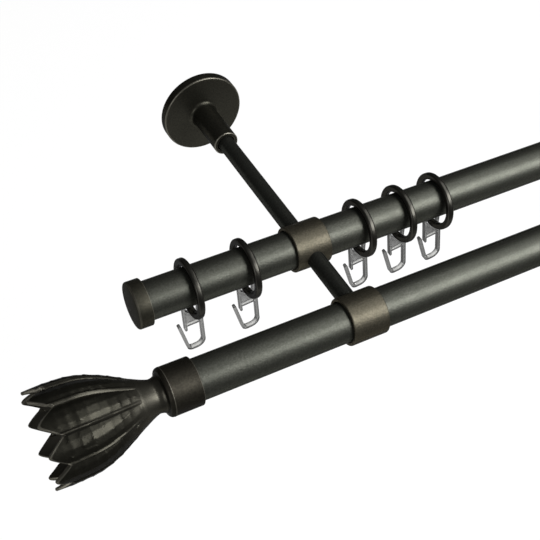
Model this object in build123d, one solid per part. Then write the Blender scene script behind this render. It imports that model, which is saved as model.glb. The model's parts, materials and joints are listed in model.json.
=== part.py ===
from build123d import *
import math
import os

# Double curtain pole. Millimetres, +Z up, +X to the right as seen from the room, and the room towards -Y.
# The wall is the plane Y = 0. The origin is the middle of the left bracket's rose, on the wall.

# Poles: two tubes of one diameter
pole_diameter = 20.0
pole_wall = 1.0
front_pole_length = 1200.0
back_pole_setback = 6.3

# Brackets: how far the poles' centre lines stand from the wall, and where the brackets are
back_pole_reach = 126.6
front_pole_reach = 180.8
bracket_overhang = 100.0

# Rose: the round wall cover with its socket for the arm
rose_diameter = 48.0
rose_thickness = 5.4
rose_face_wall = 2.0
rose_edge_rounding = 0.6
socket_diameter = 14.4
socket_reach = 36.0
socket_root_fillet = 1.7
socket_lip_rounding = 0.7
socket_mouth_diameter = 11.8
socket_mouth_depth = 3.0

# Wall plate inside the rose, with the stud that the arm screws on to
plate_diameter = 38.0
plate_thickness = 3.0
plate_screw_hole = 5.0
plate_countersink = 9.5
plate_screw_spacing = 25.0
stud_diameter = 6.0
stud_length = 14.0

# Arms and the collars welded to them
arm_diameter = 9.3
collar_diameter = 24.0
collar_width = 19.2
collar_edge_rounding = 0.5
collar_clearance = 0.45

# Headless screws that hold the poles, the roses and the finials
grub_diameter = 4.0
grub_length = 3.0
grub_socket_across = 2.0
grub_socket_depth = 1.5
grub_chamfer = 0.3
rose_grub_reach = 27.0

# Push-on caps on the back pole
cap_diameter = 24.1
cap_length = 7.8
cap_end_wall = 1.3
cap_dome = 0.6
cap_edge_rounding = 0.7

# Finial: one casting, a sleeve with a flower of overlapping petals
sleeve_diameter = 23.4
sleeve_length = 16.2
sleeve_depth = 13.4
sleeve_mouth_rounding = 0.4
shoulder_rounding = 0.8
neck_diameter = 15.2
neck_cove = 3.1
flower_length = 53.8
flower_diameter = 44.4
belly_from_neck = 38.8
tip_swell = 0.25
seams_from_neck = 8.5
petal_count = 10
petal_turn = 14.4
petal_tip_length = 8.2
petal_tip_width = 0.8
petal_side_bulge = 0.8
petal_wall = 1.9
petal_low_edge = 1.7
petal_high_edge = 0.45
petal_bead_width = 1.7
petal_bead_height = 0.7
cup_floor_from_neck = 10.0

# Rings on the back pole, hanging on its top, where the photograph shows them
ring_bore = 24.8
ring_thickness = 3.5
ring_width = 3.4
ring_edge_rounding = 1.1
ring_places = (-64.6, -33.7, 32.5, 57.1, 79.9)

# Clip hooks, one on each ring, and how far each leans from the plumb line, in degrees
hook_thickness = 2.5
hook_stroke = 1.7
hook_wall_left = -4.6
hook_wall_width = 1.3
hook_wall_drop = 14.1
hook_jaw_wall = 1.3
hook_tip_drop = 3.4
hook_shank_centre = 4.9
hook_shank_top = 6.4
hook_bar_height = 10.9
hook_bar_stroke = 1.2
hook_web_thickness = 0.9
hook_depth = 29.8
hook_arm_foot = -3.6
hook_arm_tip_out = 7.3
hook_arm_tip_drop = 10.6
hook_heel_radius = 4.2
hook_toe_radius = 2.6
hook_leans = (3.6, 5.0, 7.2, 7.9, 8.6)

# Clearances
press_clearance = 0.05
thread_clearance = 0.05
slip_clearance = 0.15
hanging_clearance = 0.3
plate_clearance = 0.2

# Worked out from the sizes above
pole_radius = pole_diameter / 2
back_pole_length = front_pole_length - 2 * back_pole_setback
bracket_spacing = front_pole_length - 2 * bracket_overhang
middle = bracket_spacing / 2
collar_bore_radius = pole_radius + collar_clearance
ring_radius = (ring_bore + ring_thickness) / 2
ring_drop = ring_bore / 2 - pole_radius - hanging_clearance
ring_bottom = -ring_drop - ring_radius
hook_pocket = ring_thickness / 2 + hanging_clearance


def along_x(radius, start, end, reach, level=0.0):
    bar = Cylinder(radius, end - start, align=(Align.CENTER, Align.CENTER, Align.MIN))
    return Pos(start, -reach, level) * Rot(0, 90, 0) * bar


def into_room(radius, start, end, place):
    bar = Cylinder(radius, end - start, align=(Align.CENTER, Align.CENTER, Align.MIN))
    return Pos(place, -start, 0) * Rot(90, 0, 0) * bar


def turned(corners):
    # corners: radius, height and rounding of each corner of the half section, in order
    outline = make_face(Polyline([(radius, height) for radius, height, rounding in corners], close=True))
    for radius, height, rounding in corners:
        if rounding > 0:
            corner = outline.vertices().sort_by_distance(Vector(radius, height, 0))[0]
            outline = fillet(corner, rounding)
    return revolve(Plane.XZ * outline, Axis.Z)


def other_end(shape, reach):
    # The same piece at the other end of its pole: turned round about the upright line through the pole's middle
    return Pos(middle, -reach, 0) * Rot(0, 0, 180) * Pos(-middle, reach, 0) * shape


def pole(length, reach):
    outside = along_x(pole_radius, middle - length / 2, middle + length / 2, reach)
    inside = along_x(pole_radius - pole_wall, middle - length / 2, middle + length / 2, reach)
    return outside - inside


def grub_screw():
    # Stands on its flat point at the origin and reaches up along +Z
    body = Cylinder(grub_diameter / 2, grub_length, align=(Align.CENTER, Align.CENTER, Align.MIN))
    body = chamfer(body.edges().filter_by(GeomType.CIRCLE), grub_chamfer)
    socket = RegularPolygon(grub_socket_across / 2, 6, major_radius=False)
    return body - Pos(0, 0, grub_length - grub_socket_depth) * extrude(socket, grub_socket_depth)


def grub_below(place, reach, held_radius):
    return Pos(place, -reach, -held_radius) * Rot(180, 0, 0) * grub_screw()


def grub_hole_below(place, reach, held_radius, outer_radius):
    depth = outer_radius - held_radius + 1.0
    hole = Cylinder(grub_diameter / 2 + thread_clearance, depth, align=(Align.CENTER, Align.CENTER, Align.MIN))
    return Pos(place, -reach, -held_radius) * Rot(180, 0, 0) * hole


def wall_plate(place):
    plate = Cylinder(plate_diameter / 2, plate_thickness, align=(Align.CENTER, Align.CENTER, Align.MIN))
    stud = Cylinder(stud_diameter / 2, plate_thickness + stud_length, align=(Align.CENTER, Align.CENTER, Align.MIN))
    body = plate + stud
    for side in (-1, 1):
        hole = CounterSinkHole(plate_screw_hole / 2, plate_countersink / 2, plate_thickness)
        body -= Pos(0, side * plate_screw_spacing / 2, plate_thickness) * hole
    return Pos(place, 0, 0) * Rot(90, 0, 0) * body


def rose(place):
    rim = rose_diameter / 2
    socket = socket_diameter / 2
    recess = plate_diameter / 2 + plate_clearance
    recess_depth = plate_thickness + plate_clearance
    bore = arm_diameter / 2 + slip_clearance
    mouth = socket_mouth_diameter / 2
    mouth_bottom = socket_reach - socket_mouth_depth
    body = turned([
        (recess, 0, 0),
        (rim, 0, 0),
        (rim, rose_thickness, rose_edge_rounding),
        (socket, rose_thickness, socket_root_fillet),
        (socket, socket_reach, socket_lip_rounding),
        (mouth, socket_reach, socket_lip_rounding * 0.6),
        (mouth, mouth_bottom, 0),
        (bore, mouth_bottom, 0),
        (bore, recess_depth, 0),
        (recess, recess_depth, 0),
    ])
    body = Pos(place, 0, 0) * Rot(90, 0, 0) * body
    return body - grub_hole_below(place, rose_grub_reach, arm_diameter / 2, socket)


def long_arm(place):
    bar = into_room(arm_diameter / 2, plate_thickness, back_pole_reach, place)
    bar -= into_room(stud_diameter / 2 + thread_clearance, plate_thickness, plate_thickness + stud_length + 1, place)
    return bar - collar_space(place, back_pole_reach)


def short_arm(place):
    bar = into_room(arm_diameter / 2, back_pole_reach, front_pole_reach, place)
    return bar - collar_space(place, back_pole_reach) - collar_space(place, front_pole_reach)


def collar_space(place, reach):
    return along_x(collar_diameter / 2, place - collar_width, place + collar_width, reach)


def collar(place, reach):
    radius = collar_diameter / 2
    body = turned([
        (collar_bore_radius, -collar_width / 2, 0),
        (radius, -collar_width / 2, collar_edge_rounding),
        (radius, collar_width / 2, collar_edge_rounding),
        (collar_bore_radius, collar_width / 2, 0),
    ])
    body = Pos(place, -reach, 0) * Rot(0, 90, 0) * body
    return body - grub_hole_below(place, reach, pole_radius, radius)


def rounded_rims(shape, radius, foot_rounding, top_rounding):
    # Rounds the lowest and the highest of the circular edges of one radius
    rims = [edge for edge in shape.edges().filter_by(GeomType.CIRCLE) if abs(edge.radius - radius) < 0.01]
    rims = ShapeList(rims).sort_by(Axis.Z)
    shape = fillet(rims[-1], top_rounding)
    rims = [edge for edge in shape.edges().filter_by(GeomType.CIRCLE) if abs(edge.radius - radius) < 0.01]
    return fillet(ShapeList(rims).sort_by(Axis.Z)[0], foot_rounding)


def end_cap():
    # Left end of the back pole: the pole stops against the inside of the end wall
    radius = cap_diameter / 2
    bore = pole_radius + press_clearance
    side = cap_length - cap_dome
    inside = side - cap_end_wall
    dome = ThreePointArc((radius, side), (radius / 2, side + cap_dome * 3 / 4), (0, cap_length))
    lines = Polyline((0, cap_length), (0, inside), (bore, inside), (bore, 0), (radius, 0), (radius, side))
    cup = revolve(Plane.XZ * make_face([dome, lines]), Axis.Z)
    cup = rounded_rims(cup, radius, cap_edge_rounding / 2, cap_edge_rounding)
    pole_end = middle - back_pole_length / 2
    return Pos(pole_end + inside, -back_pole_reach, 0) * Rot(0, -90, 0) * cup


def flower_radius(height):
    # Outer radius of the flower at a height above its neck: a quarter wave out to the belly, then a slight swell
    neck = neck_diameter / 2
    if height < belly_from_neck:
        return neck + (flower_diameter / 2 - neck) * math.sin(math.radians(90 * height / belly_from_neck))
    share = min((height - belly_from_neck) / (flower_length - belly_from_neck), 1.0)
    return flower_diameter / 2 + tip_swell * math.sin(math.radians(180 * share))


def seam_relief(height):
    # How much of the petals' overlap shows at a height: almost none at the neck, all of it at the belly
    share = (height - seams_from_neck) / (belly_from_neck - seams_from_neck)
    return 0.12 + 0.88 * math.sqrt(min(max(share, 0.0), 1.0))


def around(radius, angle, height):
    return Vector(radius * math.cos(math.radians(angle)), radius * math.sin(math.radians(angle)), height)


def petal_ring(height, base):
    # Outer section: each petal is an arc that starts at a raised, beaded edge and ends below its neighbour's
    outer = flower_radius(height)
    relief = seam_relief(height)
    pitch = 360 / petal_count
    bead = math.degrees(petal_bead_width * relief / outer)
    high = outer - petal_high_edge * relief
    crest = high + petal_bead_height * relief
    low = outer - petal_low_edge * relief
    level = base + height
    edges = []
    for number in range(petal_count):
        start = petal_turn + (number - 0.5) * pitch
        end = start + pitch
        seam = around(high, start, level)
        bead_foot = around(high, start + bead, level)
        low_edge = around(low, end, level)
        edges.append(ThreePointArc(seam, around(crest, start + bead / 2, level), bead_foot))
        edges.append(ThreePointArc(bead_foot, around(outer, start + (pitch + bead) / 2, level), low_edge))
        edges.append(Line(low_edge, around(high, end, level)))
    return Face(Wire(edges))


def cup_ring(height, base):
    # Inner section: the petals seen from inside the cup
    outer = flower_radius(height)
    pitch = 360 / petal_count
    middle_radius = outer - petal_wall
    edge_radius = middle_radius - (petal_low_edge + petal_high_edge) / 2
    level = base + height
    edges = []
    for number in range(petal_count):
        start = petal_turn + (number - 0.5) * pitch
        first = around(edge_radius, start, level)
        last = around(edge_radius, start + pitch, level)
        edges.append(ThreePointArc(first, around(middle_radius, start + pitch / 2, level), last))
    return Face(Wire(edges))


def notch_between_petals(base):
    # The gap between two neighbouring tips, cut straight outwards
    tip = base + flower_length
    root = tip - petal_tip_length
    beyond = tip + 2.0
    half = flower_diameter / 2 * math.sin(math.radians(180 / petal_count)) - petal_tip_width / 2
    edges = [Line((-half, beyond), (half, beyond))]
    for side in (-1, 1):
        edges.append(Line((side * half, beyond), (side * half, tip)))
        bulge = (side * (half / 2 - petal_side_bulge), (tip + root) / 2)
        edges.append(ThreePointArc((side * half, tip), bulge, (0, root)))
    outline = make_face(edges)
    return Pos(flower_diameter / 4, 0, 0) * extrude(Plane.YZ * outline, flower_diameter / 2)


def flower(base):
    heights = [belly_from_neck * share for share in (0, 0.12, 0.24, 0.38, 0.56, 0.76, 1.0)]
    heights += [(belly_from_neck + flower_length) / 2, flower_length]
    outside = loft([petal_ring(height, base) for height in heights])
    inner = [height for height in heights if height > cup_floor_from_neck * 1.2] + [flower_length + 1.0]
    floor = Pos(0, 0, base + cup_floor_from_neck) * Circle(flower_radius(cup_floor_from_neck) / 2)
    hollow = loft([cup_ring(height, base) for height in inner])
    hollow += loft([floor, Pos(0, 0, base + inner[0]) * Circle(flower_radius(inner[0]) - petal_wall - petal_low_edge)])
    body = outside - hollow
    for number in range(petal_count):
        turn = petal_turn + (number + 0.5) * 360 / petal_count
        body -= Rot(0, 0, turn) * notch_between_petals(base)
    return body


def finial():
    # Left end of the front pole: the sleeve's mouth is at its foot, and the pole stops inside it
    sleeve = sleeve_diameter / 2
    neck = neck_diameter / 2
    bore = pole_radius + press_clearance
    neck_level = sleeve_length + neck_cove
    cove_start = neck + neck_cove
    cove = ThreePointArc(
        (cove_start, sleeve_length),
        (cove_start - neck_cove * math.sin(math.radians(45)), neck_level - neck_cove * math.cos(math.radians(45))),
        (neck, neck_level),
    )
    lines = Polyline((neck, neck_level), (0, neck_level), (0, sleeve_depth), (bore, sleeve_depth), (bore, 0),
                     (sleeve, 0), (sleeve, sleeve_length), (cove_start, sleeve_length))
    body = revolve(Plane.XZ * make_face([cove, lines]), Axis.Z)
    body = rounded_rims(body, sleeve, sleeve_mouth_rounding, shoulder_rounding) + flower(neck_level)
    pole_end = middle - front_pole_length / 2
    body = Pos(pole_end + sleeve_depth, -front_pole_reach, 0) * Rot(0, -90, 0) * body
    return body - grub_hole_below(finial_grub_place(), front_pole_reach, pole_radius, sleeve)


def finial_grub_place():
    return middle - front_pole_length / 2 + sleeve_depth / 2


def ring(place):
    section = Pos(ring_radius, 0) * RectangleRounded(ring_thickness, ring_width, ring_edge_rounding)
    return Pos(place, -back_pole_reach, -ring_drop) * Rot(0, 90, 0) * revolve(Plane.XZ * section, Axis.Z)


def hook_bar(points, radii, stroke):
    line = FilletPolyline(points, radius=radii) if radii else Polyline(points)
    bar = trace(line, stroke)
    for end in (points[0], points[-1]):
        bar += Pos(end[0], end[1]) * Circle(stroke / 2)
    return bar


def hook_outline():
    # Section through the clip hook, with the middle of the ring's own section at the origin
    wall_middle = hook_wall_left + hook_wall_width / 2
    jaw_top = hook_pocket + hook_jaw_wall / 2
    wall = hook_bar([(wall_middle, jaw_top), (wall_middle, -hook_wall_drop)], None, hook_wall_width)
    jaw_right = hook_shank_centre - hook_stroke / 4
    jaw = hook_bar([(wall_middle, jaw_top), (jaw_right, jaw_top), (jaw_right - hook_jaw_wall / 2, -hook_tip_drop)],
                   [hook_jaw_wall], hook_jaw_wall)
    shank_foot = (hook_shank_centre, -hook_depth)
    arm = hook_bar([(hook_shank_centre, -hook_shank_top), shank_foot, (hook_arm_foot, -hook_depth),
                    (-hook_arm_tip_out, -hook_arm_tip_drop)], [hook_heel_radius, hook_toe_radius], hook_stroke)
    bar = hook_bar([(wall_middle, -hook_bar_height), (hook_shank_centre, -hook_bar_height)], None, hook_bar_stroke)
    cradle = hook_bar([(wall_middle, 0), (hook_shank_centre, -hook_bar_height + hook_bar_stroke)], None, hook_bar_stroke)
    return wall + jaw + arm + bar + cradle


def hook(place, lean):
    wall_middle = hook_wall_left + hook_wall_width / 2
    outline = hook_outline()
    web = make_face(Polyline((wall_middle, 0), (hook_shank_centre, -hook_bar_height), (wall_middle, -hook_bar_height),
                             close=True))
    body = extrude(Plane.XZ * outline, hook_thickness / 2, both=True)
    body += extrude(Plane.XZ * web, hook_web_thickness / 2, both=True)
    body -= Rot(90, 0, 0) * Cylinder(hook_pocket, hook_thickness * 2)
    return Pos(place, -back_pole_reach, ring_bottom) * Rot(0, -lean, 0) * body


def write(name, shape):
    export_step(shape, "parts/" + name + ".step")


os.makedirs("parts", exist_ok=True)
write("back_pole", pole(back_pole_length, back_pole_reach))
write("front_pole", pole(front_pole_length, front_pole_reach))

left_cap = end_cap()
write("left_end_cap", left_cap)
write("right_end_cap", other_end(left_cap, back_pole_reach))

left_finial = finial()
write("left_flower_finial", left_finial)
write("right_flower_finial", other_end(left_finial, front_pole_reach))

finial_grub = grub_below(finial_grub_place(), front_pole_reach, pole_radius)
write("left_finial_grub_screw", finial_grub)
write("right_finial_grub_screw", other_end(finial_grub, front_pole_reach))

for side, place in (("left", 0.0), ("right", bracket_spacing)):
    write(side + "_wall_plate", wall_plate(place))
    write(side + "_rose", rose(place))
    write(side + "_long_arm", long_arm(place))
    write(side + "_back_collar", collar(place, back_pole_reach))
    write(side + "_short_arm", short_arm(place))
    write(side + "_front_collar", collar(place, front_pole_reach))
    grubs = [
        grub_below(place, rose_grub_reach, arm_diameter / 2),
        grub_below(place, back_pole_reach, pole_radius),
        grub_below(place, front_pole_reach, pole_radius),
    ]
    write(side + "_bracket_grub_screws", Compound(grubs))

for number, (place, lean) in enumerate(zip(ring_places, hook_leans), start=1):
    write("ring_" + str(number), ring(place))
    write("hook_" + str(number), hook(place, lean))
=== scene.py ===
import bpy
import bmesh
import json
import math
from mathutils import Matrix, Vector

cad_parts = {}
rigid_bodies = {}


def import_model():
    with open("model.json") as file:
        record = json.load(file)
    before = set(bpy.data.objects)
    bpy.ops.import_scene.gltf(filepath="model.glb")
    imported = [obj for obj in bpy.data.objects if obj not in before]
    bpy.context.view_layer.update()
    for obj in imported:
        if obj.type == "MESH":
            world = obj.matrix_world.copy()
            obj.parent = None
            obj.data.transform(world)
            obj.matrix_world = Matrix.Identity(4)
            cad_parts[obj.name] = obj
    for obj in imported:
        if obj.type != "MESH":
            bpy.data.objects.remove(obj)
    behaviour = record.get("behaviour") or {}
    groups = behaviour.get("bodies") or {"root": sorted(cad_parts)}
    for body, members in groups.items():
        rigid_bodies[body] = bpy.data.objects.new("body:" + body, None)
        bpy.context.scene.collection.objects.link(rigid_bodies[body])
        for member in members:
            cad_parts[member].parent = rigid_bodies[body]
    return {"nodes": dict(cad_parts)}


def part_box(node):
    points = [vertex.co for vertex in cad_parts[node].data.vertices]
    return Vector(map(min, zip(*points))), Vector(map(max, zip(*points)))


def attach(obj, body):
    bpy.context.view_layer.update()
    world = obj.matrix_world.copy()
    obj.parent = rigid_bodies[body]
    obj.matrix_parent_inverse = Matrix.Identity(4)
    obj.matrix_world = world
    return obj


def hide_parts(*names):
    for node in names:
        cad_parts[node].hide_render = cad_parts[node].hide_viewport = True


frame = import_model()
nodes = frame["nodes"]
for leftover in [o for o in bpy.data.objects if o.name in ("Cube", "Light", "Camera")]:
    bpy.data.objects.remove(leftover)
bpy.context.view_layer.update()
scene = bpy.context.scene
print("frame loaded:", len(nodes), "nodes")

mm = 0.001


# Small helpers

def hexToLinear(text):
    channels = [int(text[i:i + 2], 16) / 255 for i in (1, 3, 5)]
    return tuple(c / 12.92 if c <= 0.04045 else ((c + 0.055) / 1.055) ** 2.4 for c in channels) + (1.0,)


def addNode(tree, kind, options, inputs):
    node = tree.nodes.new(kind)
    for name, value in options.items():
        setattr(node, name, value)
    for key, value in inputs.items():
        if isinstance(value, bpy.types.NodeSocket):
            tree.links.new(value, node.inputs[key])
        else:
            node.inputs[key].default_value = value
    return node


def newMaterial(name):
    material = bpy.data.materials.new(name)
    material.use_nodes = True
    material.node_tree.nodes.clear()
    return material, material.node_tree


def paint(material, *names):
    # gives CAD nodes their finish
    for name in names:
        slots = nodes[name].data.materials
        slots.clear()
        slots.append(material)


# Materials

# what all lacquered pieces share; the real grain is about 0.3 mm and is drawn coarser, so that it shows
lacquerLook = {
    "edge": "#606060", "metallic": 0.85, "specular": 0.5,
    "grainMm": 0.9, "cloudMm": 4.0, "roughnessSpread": 0.03,
    # the lighter colour mixed in where the mesh is marked, and how much: edge wear together with painted
    # highlights and painted light
    "wearAndLightStrength": 0.0, "worn": "#7d7a70",
}


def blackLacquer(name, own):
    # Satin black baked lacquer: a dark coat with a soft, wide sheen, the fine grain of powder coating
    # and, where the mesh is marked, a lighter colour mixed in: partly edges rubbed by handling, partly
    # painted highlights on edges and roundings and painted light on shaded faces
    look = {**lacquerLook, **own}
    material, tree = newMaterial(name)
    place = addNode(tree, "ShaderNodeTexCoord", {}, {}).outputs["Object"]
    grain = addNode(tree, "ShaderNodeTexNoise", {}, {
        "Vector": place, "Scale": 1 / (look["grainMm"] * mm), "Detail": 1.5, "Roughness": 0.5})
    cloud = addNode(tree, "ShaderNodeTexNoise", {}, {
        "Vector": place, "Scale": 1 / (look["cloudMm"] * mm), "Detail": 3.0, "Roughness": 0.55})
    speck = addNode(tree, "ShaderNodeMapRange", {}, {
        "Value": grain.outputs["Fac"], "From Min": 0.35, "From Max": 0.65})
    tone = addNode(tree, "ShaderNodeMix", {"data_type": "RGBA"}, {
        "Factor": speck.outputs["Result"], "A": hexToLinear(look["dark"]), "B": hexToLinear(look["light"])})
    # the mesh's mark for rubbed edges, painted highlights and painted light
    edges = addNode(tree, "ShaderNodeAttribute", {"attribute_name": "worn"}, {})
    wearAndLightShare = addNode(tree, "ShaderNodeMath", {"operation": "MULTIPLY", "use_clamp": True}, {
        0: edges.outputs["Fac"], 1: look["wearAndLightStrength"]})
    colour = addNode(tree, "ShaderNodeMix", {"data_type": "RGBA"}, {
        "Factor": wearAndLightShare.outputs[0], "A": tone.outputs["Result"], "B": hexToLinear(look["worn"])})
    roughness = addNode(tree, "ShaderNodeMapRange", {}, {
        "Value": cloud.outputs["Fac"], "From Min": 0.3, "From Max": 0.7,
        "To Min": look["roughness"] - look["roughnessSpread"],
        "To Max": look["roughness"] + look["roughnessSpread"]})
    bump = addNode(tree, "ShaderNodeBump", {}, {
        "Height": grain.outputs["Fac"], "Strength": 1.0, "Distance": look["grainDepthMm"] * mm})
    shader = addNode(tree, "ShaderNodeBsdfPrincipled", {}, {
        "Base Color": colour.outputs["Result"], "Roughness": roughness.outputs["Result"],
        "Normal": bump.outputs["Normal"], "Metallic": look["metallic"],
        "Specular IOR Level": look["specular"]})
    shader.inputs["Specular Tint"].default_value = hexToLinear(look["edge"])
    addNode(tree, "ShaderNodeOutputMaterial", {}, {"Surface": shader.outputs["BSDF"]})
    return material


# the grain shows most on the tubes and collars, hardly on the smoother castings and rings
tubeLacquer = blackLacquer("satinBlackLacquerOnSteelTube", {
    "dark": "#454640", "light": "#4e4f49", "roughness": 0.45, "grainDepthMm": 0.07, "cloudMm": 6.0})
armLacquer = blackLacquer("satinBlackLacquerOnSteelRod", {
    "dark": "#383935", "light": "#40413d", "roughness": 0.42, "grainDepthMm": 0.05, "cloudMm": 6.0})
collarLacquer = blackLacquer("warmBlackLacquerOnTurnedSteel", {
    "dark": "#4a473d", "light": "#555146", "roughness": 0.44, "grainDepthMm": 0.08})
sleeveLacquer = blackLacquer("warmBlackLacquerOnFinialSleeve", {
    "dark": "#292722", "light": "#302e28", "roughness": 0.52, "grainDepthMm": 0.06, "wearAndLightStrength": 0.5})
capLacquer = blackLacquer("warmBlackLacquerOnEndCap", {
    "dark": "#37362f", "light": "#3f3d35", "roughness": 0.5, "grainDepthMm": 0.05, "wearAndLightStrength": 0.55})
castingLacquer = blackLacquer("satinBlackLacquerOnZincCasting", {
    "dark": "#2b2a25", "light": "#2f2e28", "roughness": 0.39, "grainDepthMm": 0.02, "cloudMm": 5.0,
    "wearAndLightStrength": 0.8})
roseLacquer = blackLacquer("satinBlackLacquerOnPressedSteel", {
    "dark": "#302f2a", "light": "#393831", "roughness": 0.38, "grainDepthMm": 0.05, "cloudMm": 5.0,
    "wearAndLightStrength": 0.7})
ringLacquer = blackLacquer("glossBlackLacquerOnSteelRing", {
    "dark": "#393834", "light": "#3c3b37", "roughness": 0.3, "grainMm": 0.7, "grainDepthMm": 0.004,
    "cloudMm": 5.0})


plasticLook = {
    # edge is the colour of the painted shade that darkens the plastic where its surface turns from view
    "middle": "#fbfbf9", "edge": "#111110", "paintedShadeFrom": 0.12, "paintedShadeTo": 0.6, "flow": 0.22, "flowMm": 2.0,
    "roughness": 0.06, "ior": 1.49, "transmission": 0.8, "seeThrough": 0.5,
}


def clearPlastic():
    # Clear moulded acetal: nearly colourless through the middle, with painted shade darkening it to grey
    # where its surface turns away from view, standing in for the dark surroundings seen refracted at its
    # edges
    look = plasticLook
    material, tree = newMaterial("clearMouldedPlastic")
    place = addNode(tree, "ShaderNodeTexCoord", {}, {}).outputs["Object"]
    flow = addNode(tree, "ShaderNodeTexNoise", {}, {
        "Vector": place, "Scale": 1 / (look["flowMm"] * mm), "Detail": 2.0})
    turned = addNode(tree, "ShaderNodeLayerWeight", {}, {"Blend": 0.5})
    # painted shade: darker as the surface turns away from view
    edges = addNode(tree, "ShaderNodeMapRange", {}, {
        "Value": turned.outputs["Facing"], "From Min": look["paintedShadeFrom"], "From Max": look["paintedShadeTo"]})
    shade = addNode(tree, "ShaderNodeMath", {"operation": "MULTIPLY_ADD", "use_clamp": True}, {
        0: flow.outputs["Fac"], 1: look["flow"], 2: edges.outputs["Result"]})
    tone = addNode(tree, "ShaderNodeMix", {"data_type": "RGBA"}, {
        "Factor": shade.outputs[0], "A": hexToLinear(look["middle"]), "B": hexToLinear(look["edge"])})
    body = addNode(tree, "ShaderNodeBsdfPrincipled", {}, {
        "Base Color": tone.outputs["Result"], "Roughness": look["roughness"], "IOR": look["ior"],
        "Transmission Weight": look["transmission"]})
    through = addNode(tree, "ShaderNodeBsdfTransparent", {}, {"Color": tone.outputs["Result"]})
    both = addNode(tree, "ShaderNodeMixShader", {}, {
        0: look["seeThrough"], 1: body.outputs[0], 2: through.outputs[0]})
    addNode(tree, "ShaderNodeOutputMaterial", {}, {"Surface": both.outputs[0]})
    return material


def platedSteel(name, colour, roughness):
    # Plated or blackened steel: bare metal with a faint spangle in its sheen
    spangleMm, spread = 1.5, 0.1
    material, tree = newMaterial(name)
    place = addNode(tree, "ShaderNodeTexCoord", {}, {}).outputs["Object"]
    spangle = addNode(tree, "ShaderNodeTexVoronoi", {}, {"Vector": place, "Scale": 1 / (spangleMm * mm)})
    rough = addNode(tree, "ShaderNodeMapRange", {}, {
        "Value": spangle.outputs["Distance"], "To Min": roughness, "To Max": roughness + spread})
    shader = addNode(tree, "ShaderNodeBsdfPrincipled", {}, {
        "Base Color": hexToLinear(colour), "Metallic": 1.0, "Roughness": rough.outputs["Result"]})
    addNode(tree, "ShaderNodeOutputMaterial", {}, {"Surface": shader.outputs["BSDF"]})
    return material


hookPlastic = clearPlastic()
zincPlate = platedSteel("zincPlatedSteel", "#b4b8ba", 0.35)
blackOxide = platedSteel("blackOxideSteel", "#3a3a3c", 0.35)

for side in ("left", "right"):
    paint(collarLacquer, side + "_back_collar", side + "_front_collar")
    paint(capLacquer, side + "_end_cap")
    paint(armLacquer, side + "_long_arm", side + "_short_arm")
    paint(castingLacquer, side + "_flower_finial")
    paint(roseLacquer, side + "_rose")
    paint(zincPlate, side + "_wall_plate")
    paint(blackOxide, side + "_bracket_grub_screws", side + "_finial_grub_screw")
paint(tubeLacquer, "back_pole", "front_pole")
for number in range(1, 6):
    paint(ringLacquer, "ring_%d" % number)
    paint(hookPlastic, "hook_%d" % number)
print("materials made")


# Geometry nodes helpers

def newTree(name, inputs):
    tree = bpy.data.node_groups.new(name, "GeometryNodeTree")
    tree.interface.new_socket("Geometry", in_out="INPUT", socket_type="NodeSocketGeometry")
    for label, kind, value in inputs:
        socket = tree.interface.new_socket(label, in_out="INPUT", socket_type=kind)
        if value is not None:
            socket.default_value = value
    tree.interface.new_socket("Geometry", in_out="OUTPUT", socket_type="NodeSocketGeometry")
    return tree


def runTree(tree, mesh, settings):
    # runs the tree once on a helper object and gives back a plain mesh
    helper = bpy.data.objects.new(tree.name + "Helper", mesh)
    scene.collection.objects.link(helper)
    modifier = helper.modifiers.new("make", "NODES")
    modifier.node_group = tree
    for item in tree.interface.items_tree:
        if item.item_type == "SOCKET" and item.in_out == "INPUT" and item.name in settings:
            modifier[item.identifier] = settings[item.name]
    depsgraph = bpy.context.evaluated_depsgraph_get()
    depsgraph.update()
    plain = bpy.data.meshes.new_from_object(helper.evaluated_get(depsgraph))
    helper.modifiers.remove(modifier)
    bpy.data.objects.remove(helper)
    return plain


def finishMesh(shape, name, sharpDegrees, *materials):
    # makes the working mesh a smooth shaded one that keeps its sharp edges
    mesh = bpy.data.meshes.new(name)
    shape.to_mesh(mesh)
    shape.free()
    for material in materials:
        mesh.materials.append(material)
    mesh.shade_smooth()
    mesh.set_sharp_from_angle(angle=math.radians(sharpDegrees))
    return mesh


def addPiece(name, mesh, body, node):
    piece = bpy.data.objects.new(name, mesh)
    scene.collection.objects.link(piece)
    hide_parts(node)
    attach(piece, body)
    return piece


def arc(centre, across, along, start, end, steps):
    # points of an elliptic arc in the half section, angles in degrees from the radius direction
    points = []
    for step in range(steps + 1):
        angle = math.radians(start + (end - start) * step / steps)
        points.append((centre[0] + across * math.cos(angle), centre[1] + along * math.sin(angle)))
    return points


# how tight an outward rounding, in curvature per mm, starts to be painted lighter and is fully so: partly
# edge wear, partly a painted highlight on the rounding
roundingWearAndHighlight = {"startCurve": 0.6, "fullCurve": 1.4, "longestSide": 0.6}


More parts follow.
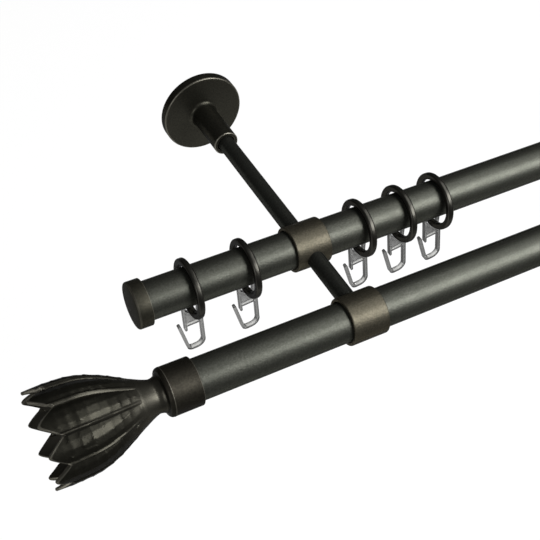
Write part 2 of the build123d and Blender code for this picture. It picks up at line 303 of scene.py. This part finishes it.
def turnOutline(shape, outline, steps):
    # turns a closed half section, in mm, about Z, and marks its tight outward roundings for the lighter
    # colour of edge wear and painted highlight
    wearAndLightLayer = shape.verts.layers.float.new("worn")
    count = len(outline)
    corners = [Vector(point) for point in outline]
    area = sum(corners[i - 1].cross(corners[i]) for i in range(count))
    worn = []
    for index in range(count):
        before = corners[index] - corners[index - 1]
        after = corners[(index + 1) % count] - corners[index]
        longest = max(before.length, after.length)
        if min(before.length, after.length) < 1e-6 or longest > roundingWearAndHighlight["longestSide"]:
            worn.append(0.0)
            continue
        bend = before.angle_signed(after, 0.0)
        curvature = (-bend if area > 0 else bend) / longest
        share = (curvature - roundingWearAndHighlight["startCurve"]) / (roundingWearAndHighlight["fullCurve"] - roundingWearAndHighlight["startCurve"])
        worn.append(min(max(share, 0.0), 1.0))
    rings = []
    for step in range(steps):
        angle = 2 * math.pi * step / steps
        ring = []
        for (r, z), mark in zip(outline, worn):
            vert = shape.verts.new((r * math.cos(angle) * mm, r * math.sin(angle) * mm, z * mm))
            vert[wearAndLightLayer] = mark
            ring.append(vert)
        rings.append(ring)
    for step in range(steps):
        here, there = rings[step], rings[(step + 1) % steps]
        for index in range(count):
            after = (index + 1) % count
            shape.faces.new((here[index], there[index], there[after], here[after]))
    # points on the axis become one
    bmesh.ops.remove_doubles(shape, verts=shape.verts, dist=1e-6)
    bmesh.ops.dissolve_degenerate(shape, edges=shape.edges, dist=1e-6)
    bmesh.ops.recalc_face_normals(shape, faces=shape.faces)


def poleEnd(node, side):
    # place of a piece on a pole's end: Z runs outwards along the pole from the piece's mouth
    low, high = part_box(node)
    mouth = high.x if side == "left" else low.x
    turn = math.radians(-90 if side == "left" else 90)
    return Matrix.Translation((mouth, (low.y + high.y) / 2, 0.0)) @ Matrix.Rotation(turn, 4, "Y")


# Flower finials: a turned sleeve and neck, and ten overlapping hammered petals

flowerLook = {
    "petals": 10, "turnDegrees": 14.4,
    "sleeveRadius": 11.7, "sleeveLength": 16.2, "sleeveDepth": 13.4, "boreRadius": 10.05,
    "mouthRounding": 0.4, "shoulderLength": 1.9, "shoulderDepth": 1.5, "shoulderLine": 0.1, "cove": 3.8,
    "neckRadius": 8.1, "bellyRadius": 22.2, "bellyHeight": 38.1, "opening": 1.27, "swell": 0.25,
    "seamStart": 8.5, "wall": 1.9, "edgeRounding": 0.45,
    "tipLength": 8.4, "tipBlunting": 0.13, "tuck": 0.05,
    "beadWidth": 1.7, "beadHeight": 0.75, "highEdge": 0.45, "lowEdge": 1.7,
    "facetLength": 4.6, "facetWidth": 3.3, "facetTilt": 0.5, "facetDish": 0.4,
    "hammerStop": 9.0, "hammerFade": 4.0, "neckRelief": 0.04, "widestBead": 0.3, "thinning": 0.2,
    # lighter colour mixed in: a painted highlight on the neck and petal bases, painted light on the shaded
    # inner faces, and edge wear with a painted highlight on the tips and beads
    "neckPaintedHighlight": 0.2, "basePaintedHighlight": 0.2, "innerPaintedFill": 0.6, "tipWearAndHighlight": 0.7, "beadWearAndHighlight": 0.1,
    "rows": 92, "columns": 28, "steps": 96, "sharpDegrees": 38,
}


def flowerRadius(height):
    look = flowerLook
    if height < look["bellyHeight"]:
        share = math.sin(math.radians(90 * height / look["bellyHeight"])) ** look["opening"]
        return look["neckRadius"] + (look["bellyRadius"] - look["neckRadius"]) * share
    share = min((height - look["bellyHeight"]) / (look["flowerLength"] - look["bellyHeight"]), 1.0)
    return look["bellyRadius"] + look["swell"] * math.sin(math.pi * share)


def smoothStep(value, low, high):
    share = min(max((value - low) / (high - low), 0.0), 1.0)
    return share * share * (3 - 2 * share)


def tipDrop(across):
    # how far the petal's edge lies below its tip, as a share of the tip's length: a point with a blunted end
    blunt = flowerLook["tipBlunting"]
    return (math.hypot(2 * across - 1, blunt) - blunt) / (math.hypot(1.0, blunt) - blunt)


def petalPoint(height, across, depth):
    # across: 0 at the raised, beaded edge and 1 at the edge tucked under the next petal
    # depth: mm below the face
    look = flowerLook
    radius = flowerRadius(height)
    pitch = 2 * math.pi / look["petals"]
    share = (height - look["seamStart"]) / (look["bellyHeight"] - look["seamStart"])
    rise = math.sqrt(min(max(share, 0.0), 1.0))
    bead = min(look["beadWidth"] / (radius * pitch), look["widestBead"])
    if across < bead:
        drop = look["highEdge"] - look["beadHeight"] * math.sin(math.pi * max(across, 0.0) / bead)
    else:
        share = (across - bead) / (1 - bead)
        crown = (look["highEdge"] + look["lowEdge"]) / 2 * 4 * share * (1 - share)
        drop = look["highEdge"] + (look["lowEdge"] - look["highEdge"]) * share - crown
    angle = pitch * (across - 0.5)
    reach = radius - drop * (look["neckRelief"] + (1 - look["neckRelief"]) * rise) - depth
    return (reach * math.cos(angle) * mm, reach * math.sin(angle) * mm, (look["neckLevel"] + height) * mm)


def petalMesh():
    # one petal as a closed shell, with its place in the hammering kept as attributes
    look = flowerLook
    shape = bmesh.new()
    alongLayer = shape.verts.layers.float.new("hammerAlong")
    acrossLayer = shape.verts.layers.float.new("hammerAcross")
    onLayer = shape.verts.layers.float.new("hammerOn")
    wearAndLightLayer = shape.verts.layers.float.new("worn")
    loops = []
    rows, columns = look["rows"], look["columns"]
    pitch = 2 * math.pi / look["petals"]
    for row in range(rows + 2):
        share = min(row / rows, 1.0)
        inset = look["edgeRounding"] if row > rows else 0.0
        loop = []
        for face in ("outer", "inner"):
            for column in range(-2, columns + 3):
                across = min(max(column / columns, 0.0), 1.0) * (1 + look["tuck"])
                side = 0.0
                if column in (-2, columns + 2):
                    side = 1.0
                elif column in (-1, columns + 1):
                    side = 0.5
                top = look["flowerLength"] - look["tipLength"] * min(tipDrop(across), 1.0)
                lip = look["edgeRounding"] * 0.7
                height = share * (top - lip) + (lip if inset else 0.0)
                radius = flowerRadius(height)
                shift = look["edgeRounding"] * side / (radius * pitch) * (-1 if column < 0 else 1)
                thinning = smoothStep(height, look["bellyHeight"], look["flowerLength"])
                wall = look["wall"] * (1 - look["thinning"] * thinning)
                rounding = look["edgeRounding"] * side * side * 0.9 + inset
                depth = rounding if face == "outer" else wall - rounding
                vert = shape.verts.new(petalPoint(height, across + shift, depth))
                bead = look["beadWidth"] / (radius * pitch)
                vert[alongLayer] = height
                # tips and beads: edge wear together with a painted highlight on their edges
                tipWearAndHighlightShare = look["tipWearAndHighlight"] if row >= rows - 1 else 0.0
                onBead = (1 - smoothStep(across, bead * 0.6, bead)) * smoothStep(height, 12.0, 20.0)
                # near the neck the outer faces get a painted highlight that fades out up the petal
                nearNeckHighlight = look["basePaintedHighlight"] * (1 - smoothStep(height, 3.0, 22.0))
                outerWearAndLight = max(tipWearAndHighlightShare, look["beadWearAndHighlight"] * onBead, nearNeckHighlight)
                # inner faces get painted light in their shade
                vert[wearAndLightLayer] = outerWearAndLight if face == "outer" else look["innerPaintedFill"]
                vert[acrossLayer] = (across - bead) * radius * pitch
                if face == "outer" and side == 0.0 and not inset:
                    first = look["seamStart"]
                    last = look["flowerLength"] - look["hammerStop"]
                    begun = smoothStep(height, first, first + look["hammerFade"])
                    ended = smoothStep(height, last, last + look["hammerFade"])
                    vert[onLayer] = begun * smoothStep(across, bead, bead + 0.05) * (1 - ended)
                loop.append(vert)
        half = len(loop) // 2
        loops.append(loop[:half] + loop[half:][::-1])
    count = len(loops[0])
    for here, there in zip(loops, loops[1:]):
        for index in range(count):
            after = (index + 1) % count
            shape.faces.new((here[index], here[after], there[after], there[index]))
    half = count // 2
    for loop in (loops[0], loops[-1]):
        for index in range(half - 1):
            shape.faces.new((loop[index], loop[index + 1], loop[count - 2 - index], loop[count - 1 - index]))
    bmesh.ops.recalc_face_normals(shape, faces=shape.faces)
    mesh = bpy.data.meshes.new("petal")
    shape.to_mesh(mesh)
    shape.free()
    return mesh


def flowerTree(material):
    # repeats the petal around the stem, then beats the outer faces into flat squarish facets
    look = flowerLook
    tree = newTree("hammeredFlower", [
        ("Petals", "NodeSocketInt", look["petals"]),
        ("Turn", "NodeSocketFloat", math.radians(look["turnDegrees"])),
        ("Facet Length", "NodeSocketFloat", look["facetLength"]),
        ("Facet Width", "NodeSocketFloat", look["facetWidth"]),
        ("Facet Tilt", "NodeSocketFloat", look["facetTilt"]),
        ("Facet Dish", "NodeSocketFloat", look["facetDish"]),
        ("Seed", "NodeSocketFloat", 7.31)])
    given = addNode(tree, "NodeGroupInput", {}, {}).outputs
    points = addNode(tree, "GeometryNodePoints", {}, {"Count": given["Petals"]})
    index = addNode(tree, "GeometryNodeInputIndex", {}, {}).outputs[0]
    step = addNode(tree, "ShaderNodeMath", {"operation": "DIVIDE"}, {0: 2 * math.pi, 1: given["Petals"]})
    angle = addNode(tree, "ShaderNodeMath", {"operation": "MULTIPLY_ADD"}, {
        0: index, 1: step.outputs[0], 2: given["Turn"]})
    euler = addNode(tree, "ShaderNodeCombineXYZ", {}, {"Z": angle.outputs[0]})
    turn = addNode(tree, "FunctionNodeEulerToRotation", {}, {0: euler.outputs[0]})
    petals = addNode(tree, "GeometryNodeInstanceOnPoints", {}, {
        "Points": points.outputs[0], "Instance": given["Geometry"], "Rotation": turn.outputs[0]})
    onInstance = {"domain": "INSTANCE", "data_type": "FLOAT"}
    numbered = addNode(tree, "GeometryNodeStoreNamedAttribute", onInstance, {
        "Geometry": petals.outputs[0], "Name": "petalNumber", "Value": index})
    real = addNode(tree, "GeometryNodeRealizeInstances", {}, {0: numbered.outputs[0]})
    read = {}
    for name in ("hammerAlong", "hammerAcross", "hammerOn", "petalNumber"):
        stored = addNode(tree, "GeometryNodeInputNamedAttribute", {"data_type": "FLOAT"}, {"Name": name})
        read[name] = stored.outputs[0]
    along = addNode(tree, "ShaderNodeMath", {"operation": "DIVIDE"}, {
        0: read["hammerAlong"], 1: given["Facet Length"]})
    across = addNode(tree, "ShaderNodeMath", {"operation": "DIVIDE"}, {
        0: read["hammerAcross"], 1: given["Facet Width"]})
    moved = addNode(tree, "ShaderNodeMath", {"operation": "MULTIPLY_ADD"}, {
        0: read["petalNumber"], 1: given["Seed"], 2: along.outputs[0]})
    blow = addNode(tree, "ShaderNodeCombineXYZ", {}, {"X": moved.outputs[0], "Y": across.outputs[0]})
    cells = addNode(tree, "ShaderNodeTexVoronoi", {"voronoi_dimensions": "2D", "distance": "CHEBYCHEV"}, {
        "Vector": blow.outputs[0], "Scale": 1.0, "Randomness": 0.45})
    away = addNode(tree, "ShaderNodeVectorMath", {"operation": "SUBTRACT"}, {
        0: blow.outputs[0], 1: cells.outputs["Position"]})
    chance = addNode(tree, "ShaderNodeVectorMath", {"operation": "SUBTRACT"}, {
        0: cells.outputs["Color"], 1: (0.5, 0.5, 0.5)})
    lean = addNode(tree, "ShaderNodeVectorMath", {"operation": "DOT_PRODUCT"}, {
        0: away.outputs[0], 1: chance.outputs[0]})
    square = addNode(tree, "ShaderNodeVectorMath", {"operation": "DOT_PRODUCT"}, {
        0: away.outputs[0], 1: away.outputs[0]})
    leaned = addNode(tree, "ShaderNodeMath", {"operation": "MULTIPLY"}, {
        0: lean.outputs["Value"], 1: given["Facet Tilt"]})
    facet = addNode(tree, "ShaderNodeMath", {"operation": "MULTIPLY_ADD"}, {
        0: square.outputs["Value"], 1: given["Facet Dish"], 2: leaned.outputs[0]})
    kept = addNode(tree, "ShaderNodeMath", {"operation": "MULTIPLY"}, {
        0: facet.outputs[0], 1: read["hammerOn"]})
    metres = addNode(tree, "ShaderNodeMath", {"operation": "MULTIPLY"}, {0: kept.outputs[0], 1: mm})
    normal = addNode(tree, "GeometryNodeInputNormal", {}, {}).outputs[0]
    offset = addNode(tree, "ShaderNodeVectorMath", {"operation": "SCALE"}, {
        0: normal, "Scale": metres.outputs[0]})
    beaten = addNode(tree, "GeometryNodeSetPosition", {}, {
        "Geometry": real.outputs[0], "Offset": offset.outputs[0]})
    smooth = addNode(tree, "GeometryNodeSetShadeSmooth", {}, {"Geometry": beaten.outputs[0]})
    finished = addNode(tree, "GeometryNodeSetMaterial", {}, {
        "Geometry": smooth.outputs[0], "Material": material})
    addNode(tree, "NodeGroupOutput", {}, {0: finished.outputs[0]})
    return tree


def finialCore():
    # sleeve, cove and neck, and the floor of the cup: the petals grow out of it
    look = flowerLook
    sleeve, bore, mouth = look["sleeveRadius"], look["boreRadius"], look["mouthRounding"]
    shoulder = look["sleeveLength"] - look["shoulderLength"]
    foot = sleeve - look["shoulderDepth"]
    line = look["shoulderLine"]
    outline = [(0.0, look["sleeveDepth"]), (bore, look["sleeveDepth"]), (bore, 0.3), (bore + 0.3, 0.0)]
    outline += arc((sleeve - mouth, mouth), mouth, mouth, -90, 0, 4)
    outline += [(sleeve, shoulder - 0.5), (sleeve + line, shoulder - 0.35), (sleeve + line, shoulder - 0.15)]
    outline += arc((foot, shoulder), look["shoulderDepth"], look["shoulderLength"], 0, 80, 7)
    outline += arc((foot, look["neckLevel"]), foot - look["neckRadius"], look["cove"], -90, -180, 9)
    for height in (0.8, 1.6, 2.6, 3.8, 5.0, 6.2, 7.4):
        outline.append((flowerRadius(height) + 0.06, look["neckLevel"] + height))
    for height, below in ((8.6, 0.15), (9.6, 0.7), (10.6, 1.5), (12.0, 3.2)):
        outline.append((flowerRadius(height) - below, look["neckLevel"] + height))
    outline += [(4.0, look["neckLevel"] + 10.6), (0.0, look["neckLevel"] + 10.0)]
    shape = bmesh.new()
    turnOutline(shape, outline, look["steps"])
    wearAndLightLayer = shape.verts.layers.float["worn"]
    # shoulder, cove and neck get a painted highlight
    for vert in shape.verts:
        if look["sleeveLength"] + 0.6 < vert.co.z / mm < look["neckLevel"] + 8.0:
            vert[wearAndLightLayer] = look["neckPaintedHighlight"]
    mesh = bpy.data.meshes.new("finialCore")
    shape.to_mesh(mesh)
    shape.free()
    return mesh


def buildFinials(material, sleeveMaterial):
    look = flowerLook
    low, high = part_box("left_flower_finial")
    look["neckLevel"] = look["sleeveLength"] + look["cove"]
    look["flowerLength"] = (high.x - low.x) / mm - look["neckLevel"]
    tree = flowerTree(material)
    flower = runTree(tree, petalMesh(), {"Petals": look["petals"]})
    core = finialCore()
    for side in ("left", "right"):
        place = poleEnd(side + "_flower_finial", side)
        if side == "right":
            place = place @ Matrix.Rotation(math.pi, 4, "Z")
        shape = bmesh.new()
        shape.from_mesh(flower)
        shape.from_mesh(core)
        for face in shape.faces:
            onSleeve = face.calc_center_median().z / mm < look["sleeveLength"] - 0.2
            face.material_index = 1 if onSleeve else 0
        bmesh.ops.transform(shape, matrix=place, verts=shape.verts)
        mesh = finishMesh(shape, side + "FlowerFinial", look["sharpDegrees"], material, sleeveMaterial)
        piece = addPiece(side + "FlowerFinial", mesh, "set", side + "_flower_finial")
        print("finial", piece.name, len(mesh.polygons), "faces")


# Roses: a disc with a rounded rim, its socket growing out of it through a hollow fillet

roseLook = {
    "radius": 24.0, "thickness": 5.4, "rimRounding": 0.9,
    "socketRadius": 7.2, "socketReach": 36.0, "rootFillet": 2.4, "lipRounding": 0.7,
    "mouthRadius": 5.1, "mouthRounding": 0.4, "recessRadius": 19.2, "recessDepth": 3.2,
    "steps": 128, "sharpDegrees": 38,
}


def buildRoses(material):
    look = roseLook
    rim, root = look["rimRounding"], look["rootFillet"]
    lip, mouth = look["lipRounding"], look["mouthRounding"]
    outline = [(look["recessRadius"], 0.0), (look["radius"], 0.0)]
    outline += arc((look["radius"] - rim, look["thickness"] - rim), rim, rim, 0, 90, 6)
    outline += arc((look["socketRadius"] + root, look["thickness"] + root), root, root, -90, -180, 8)
    outline += arc((look["socketRadius"] - lip, look["socketReach"] - lip), lip, lip, 0, 90, 5)
    outline += arc((look["mouthRadius"] + mouth, look["socketReach"] - mouth), mouth, mouth, 90, 180, 4)
    outline += [(look["mouthRadius"], look["recessDepth"]), (look["recessRadius"], look["recessDepth"])]
    for side in ("left", "right"):
        low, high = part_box(side + "_rose")
        shape = bmesh.new()
        turnOutline(shape, outline, look["steps"])
        place = Matrix.Translation(((low.x + high.x) / 2, high.y, (low.z + high.z) / 2))
        bmesh.ops.transform(shape, matrix=place @ Matrix.Rotation(math.pi / 2, 4, "X"), verts=shape.verts)
        mesh = finishMesh(shape, side + "WallRose", look["sharpDegrees"], material)
        addPiece(side + "WallRose", mesh, "set", side + "_rose")
    print("roses built")


# End caps: a short cup over the end of the back pole, with a domed face

capLook = {
    "radius": 12.05, "length": 7.8, "boreRadius": 10.05, "endWall": 1.3, "dome": 0.6,
    "faceRounding": 1.0, "mouthRounding": 0.35, "domeSteps": 5, "steps": 96, "sharpDegrees": 38,
}


def buildCaps(material):
    look = capLook
    edge, mouth = look["faceRounding"], look["mouthRounding"]
    side = look["length"] - look["dome"]
    inside = side - look["endWall"]
    outline = [(0.0, inside), (look["boreRadius"], inside), (look["boreRadius"], 0.0)]
    outline += arc((look["radius"] - mouth, mouth), mouth, mouth, -90, 0, 4)
    outline += arc((look["radius"] - edge, side - edge), edge, edge, 0, 80, 7)
    for step in range(1, look["domeSteps"] + 1):
        share = 1 - step / look["domeSteps"]
        outline.append((share * look["radius"], side + look["dome"] * (1 - share * share)))
    for name in ("left", "right"):
        shape = bmesh.new()
        turnOutline(shape, outline, look["steps"])
        bmesh.ops.transform(shape, matrix=poleEnd(name + "_end_cap", name), verts=shape.verts)
        mesh = finishMesh(shape, name + "EndCap", look["sharpDegrees"], material)
        addPiece(name + "EndCap", mesh, "set", name + "_end_cap")
    print("caps built")


# Curtain rings: a steel rod with a squarish rounded section, bent round

ringLook = {"thickness": 3.5, "segments": 144, "edgeRounding": 1.1, "roundingSteps": 7}


def ringTree(material):
    tree = newTree("curtainRing", [
        ("Middle Radius", "NodeSocketFloat", 0.014), ("Thickness", "NodeSocketFloat", 0.0035),
        ("Width", "NodeSocketFloat", 0.0034), ("Edge Rounding", "NodeSocketFloat", 0.001),
        ("Segments", "NodeSocketInt", 96), ("Rounding Steps", "NodeSocketInt", 6),
        ("Centre", "NodeSocketVector", None)])
    given = addNode(tree, "NodeGroupInput", {}, {}).outputs
    path = addNode(tree, "GeometryNodeCurvePrimitiveCircle", {"mode": "RADIUS"}, {
        "Resolution": given["Segments"], "Radius": given["Middle Radius"]})
    band = addNode(tree, "GeometryNodeCurvePrimitiveQuadrilateral", {"mode": "RECTANGLE"}, {
        "Width": given["Thickness"], "Height": given["Width"]})
    rounded = addNode(tree, "GeometryNodeFilletCurve", {"mode": "POLY"}, {
        "Curve": band.outputs[0], "Radius": given["Edge Rounding"], "Count": given["Rounding Steps"]})
    swept = addNode(tree, "GeometryNodeCurveToMesh", {}, {
        "Curve": path.outputs[0], "Profile Curve": rounded.outputs[0]})
    upright = addNode(tree, "GeometryNodeTransform", {}, {
        "Geometry": swept.outputs[0], "Rotation": (0.0, math.pi / 2, 0.0), "Translation": given["Centre"]})
    smooth = addNode(tree, "GeometryNodeSetShadeSmooth", {}, {"Geometry": upright.outputs[0]})
    real = addNode(tree, "GeometryNodeRealizeInstances", {}, {0: smooth.outputs[0]})
    finished = addNode(tree, "GeometryNodeSetMaterial", {}, {
        "Geometry": real.outputs[0], "Material": material})
    addNode(tree, "NodeGroupOutput", {}, {0: finished.outputs[0]})
    return tree


def buildRings(material):
    tree = ringTree(material)
    for number in range(1, 6):
        node = "ring_%d" % number
        low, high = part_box(node)
        thickness = ringLook["thickness"] * mm
        mesh = runTree(tree, bpy.data.meshes.new(node), {
            "Middle Radius": (high.z - low.z) / 2 - thickness / 2,
            "Thickness": thickness, "Width": high.x - low.x,
            "Edge Rounding": ringLook["edgeRounding"] * mm, "Segments": ringLook["segments"],
            "Rounding Steps": ringLook["roundingSteps"], "Centre": (low + high) / 2})
        shape = bmesh.new()
        shape.from_mesh(mesh)
        bmesh.ops.recalc_face_normals(shape, faces=shape.faces)
        shape.to_mesh(mesh)
        shape.free()
        addPiece("curtainRing%d" % number, mesh, node, node)
    print("rings built")


# Clip hooks: the moulding with its edges rounded

hookLook = {
    "edgeRounding": 0.5, "roundingSteps": 3, "bendDegrees": 40, "flatDegrees": 1,
    "mergeMm": 0.002, "sharpDegrees": 30,
}


def buildHooks(material):
    look = hookLook
    for number in range(1, 6):
        node = "hook_%d" % number
        shape = bmesh.new()
        shape.from_mesh(nodes[node].data)
        bmesh.ops.remove_doubles(shape, verts=shape.verts, dist=look["mergeMm"] * mm)
        bmesh.ops.dissolve_limit(shape, angle_limit=math.radians(look["flatDegrees"]),
                                 verts=shape.verts, edges=shape.edges)
        bend = math.radians(look["bendDegrees"])
        sharp = [e for e in shape.edges if len(e.link_faces) == 2 and e.calc_face_angle(0.0) > bend]
        bmesh.ops.bevel(shape, geom=sharp, offset=look["edgeRounding"] * mm, offset_type="OFFSET",
                        segments=look["roundingSteps"], profile=0.5, affect="EDGES", clamp_overlap=True)
        bmesh.ops.triangulate(shape, faces=shape.faces)
        mesh = finishMesh(shape, "clipHook%d" % number, look["sharpDegrees"], material)
        addPiece("clipHook%d" % number, mesh, node, node)
    print("hooks built")


buildFinials(castingLacquer, sleeveLacquer)
buildRoses(roseLacquer)
buildCaps(capLacquer)
buildRings(ringLacquer)
buildHooks(hookPlastic)


# Stage: floor, world, lamps and camera

fullWhite = (1.0, 1.0, 1.0, 1.0)
stageLook = {
    "floorLevel": -0.30, "floorFrom": (-2.5, -0.42), "floorTo": (3.5, 3.0), "floorColour": "#f4f4f2",
    "floorGlow": 0.88, "floorShadow": 0.15,      # glow seen by the camera, and how much shadow it takes
    "fillStrength": 0.25, "glossStrength": 0.06,  # the room's light on dull surfaces and in gloss
    "key": {"place": (0.95, -1.15, 0.95), "aim": (0.05, -0.15, 0.0), "size": (1.1, 0.8), "watts": 36.0},
    "side": {"place": (-1.3, -1.05, 0.45), "aim": (0.0, -0.15, 0.0), "size": (0.6, 0.8), "watts": 8.0},
    "top": {"place": (0.75, -0.22, 1.3), "aim": (0.2, -0.15, 0.0), "size": (1.0, 0.5), "watts": 6.0},
}


def addLamp(name, look):
    lamp = bpy.data.lights.new(name, "AREA")
    lamp.shape = "RECTANGLE"
    lamp.size, lamp.size_y = look["size"]
    lamp.energy = look["watts"]
    holder = bpy.data.objects.new(name, lamp)
    holder.location = look["place"]
    holder.rotation_euler = (Vector(look["aim"]) - Vector(look["place"])).to_track_quat("-Z", "Y").to_euler()
    scene.collection.objects.link(holder)


def addFloor():
    # Pale floor: white to the camera, to gloss and to clear plastic, with the object's shadow faint on it
    look = stageLook
    mesh = bpy.data.meshes.new("floor")
    (left, front), (right, back) = look["floorFrom"], look["floorTo"]
    corners = [(left, front), (right, front), (right, back), (left, back)]
    mesh.from_pydata([(x, y, look["floorLevel"]) for x, y in corners], [], [(0, 1, 2, 3)])
    floor = bpy.data.objects.new("floor", mesh)
    scene.collection.objects.link(floor)
    material, tree = newMaterial("whiteFloor")
    path = addNode(tree, "ShaderNodeLightPath", {}, {})
    plain = addNode(tree, "ShaderNodeBsdfDiffuse", {}, {"Color": hexToLinear(look["floorColour"])})
    faint = look["floorShadow"]
    shaded = addNode(tree, "ShaderNodeBsdfDiffuse", {}, {"Color": (faint, faint, faint, 1.0)})
    glow = addNode(tree, "ShaderNodeEmission", {}, {"Color": fullWhite, "Strength": look["floorGlow"]})
    white = addNode(tree, "ShaderNodeAddShader", {}, {0: shaded.outputs[0], 1: glow.outputs[0]})
    clear = addNode(tree, "ShaderNodeMath", {"operation": "MAXIMUM"}, {
        0: path.outputs["Is Camera Ray"], 1: path.outputs["Is Transmission Ray"]})
    seen = addNode(tree, "ShaderNodeMath", {"operation": "MAXIMUM"}, {
        0: clear.outputs[0], 1: path.outputs["Is Glossy Ray"]})
    shown = addNode(tree, "ShaderNodeMixShader", {}, {
        0: seen.outputs[0], 1: plain.outputs[0], 2: white.outputs[0]})
    addNode(tree, "ShaderNodeOutputMaterial", {}, {"Surface": shown.outputs[0]})
    mesh.materials.append(material)


def addWorld():
    world = bpy.data.worlds.new("studio")
    scene.world = world
    world.use_nodes = True
    tree = world.node_tree
    tree.nodes.clear()
    path = addNode(tree, "ShaderNodeLightPath", {}, {})
    seen = addNode(tree, "ShaderNodeMath", {"operation": "MAXIMUM"}, {
        0: path.outputs["Is Camera Ray"], 1: path.outputs["Is Transmission Ray"]})
    level = addNode(tree, "ShaderNodeMix", {"data_type": "FLOAT"}, {
        "Factor": path.outputs["Is Glossy Ray"],
        "A": stageLook["fillStrength"], "B": stageLook["glossStrength"]})
    room = addNode(tree, "ShaderNodeBackground", {}, {
        "Color": fullWhite, "Strength": level.outputs["Result"]})
    white = addNode(tree, "ShaderNodeBackground", {}, {"Color": fullWhite, "Strength": 1.0})
    both = addNode(tree, "ShaderNodeMixShader", {}, {
        0: seen.outputs[0], 1: room.outputs[0], 2: white.outputs[0]})
    addNode(tree, "ShaderNodeOutputWorld", {}, {"Surface": both.outputs[0]})


cameraLook = {
    "place": (-0.19614, -0.44250, 0.36277),
    "azimuth": -29.182, "elevation": 45.820, "roll": 1.952,   # degrees
    "focalPixels": 1018.87, "imagePixels": 540, "sensorMm": 36.0,
}


def addCamera():
    data = bpy.data.cameras.new("camera")
    data.sensor_width = cameraLook["sensorMm"]
    data.lens = cameraLook["focalPixels"] * cameraLook["sensorMm"] / cameraLook["imagePixels"]
    data.clip_start = 0.01
    data.clip_end = 50.0
    camera = bpy.data.objects.new("camera", data)
    turn = Matrix.Rotation(math.radians(cameraLook["azimuth"]), 4, "Z")
    tilt = Matrix.Rotation(math.radians(90 - cameraLook["elevation"]), 4, "X")
    roll = Matrix.Rotation(math.radians(cameraLook["roll"]), 4, "Z")
    camera.matrix_world = Matrix.Translation(cameraLook["place"]) @ turn @ tilt @ roll
    scene.collection.objects.link(camera)
    scene.camera = camera


addFloor()
addWorld()
addLamp("keySoftbox", stageLook["key"])
addLamp("sideSoftbox", stageLook["side"])
addLamp("topSoftbox", stageLook["top"])
addCamera()
scene.view_settings.view_transform = "Standard"
print("stage set")
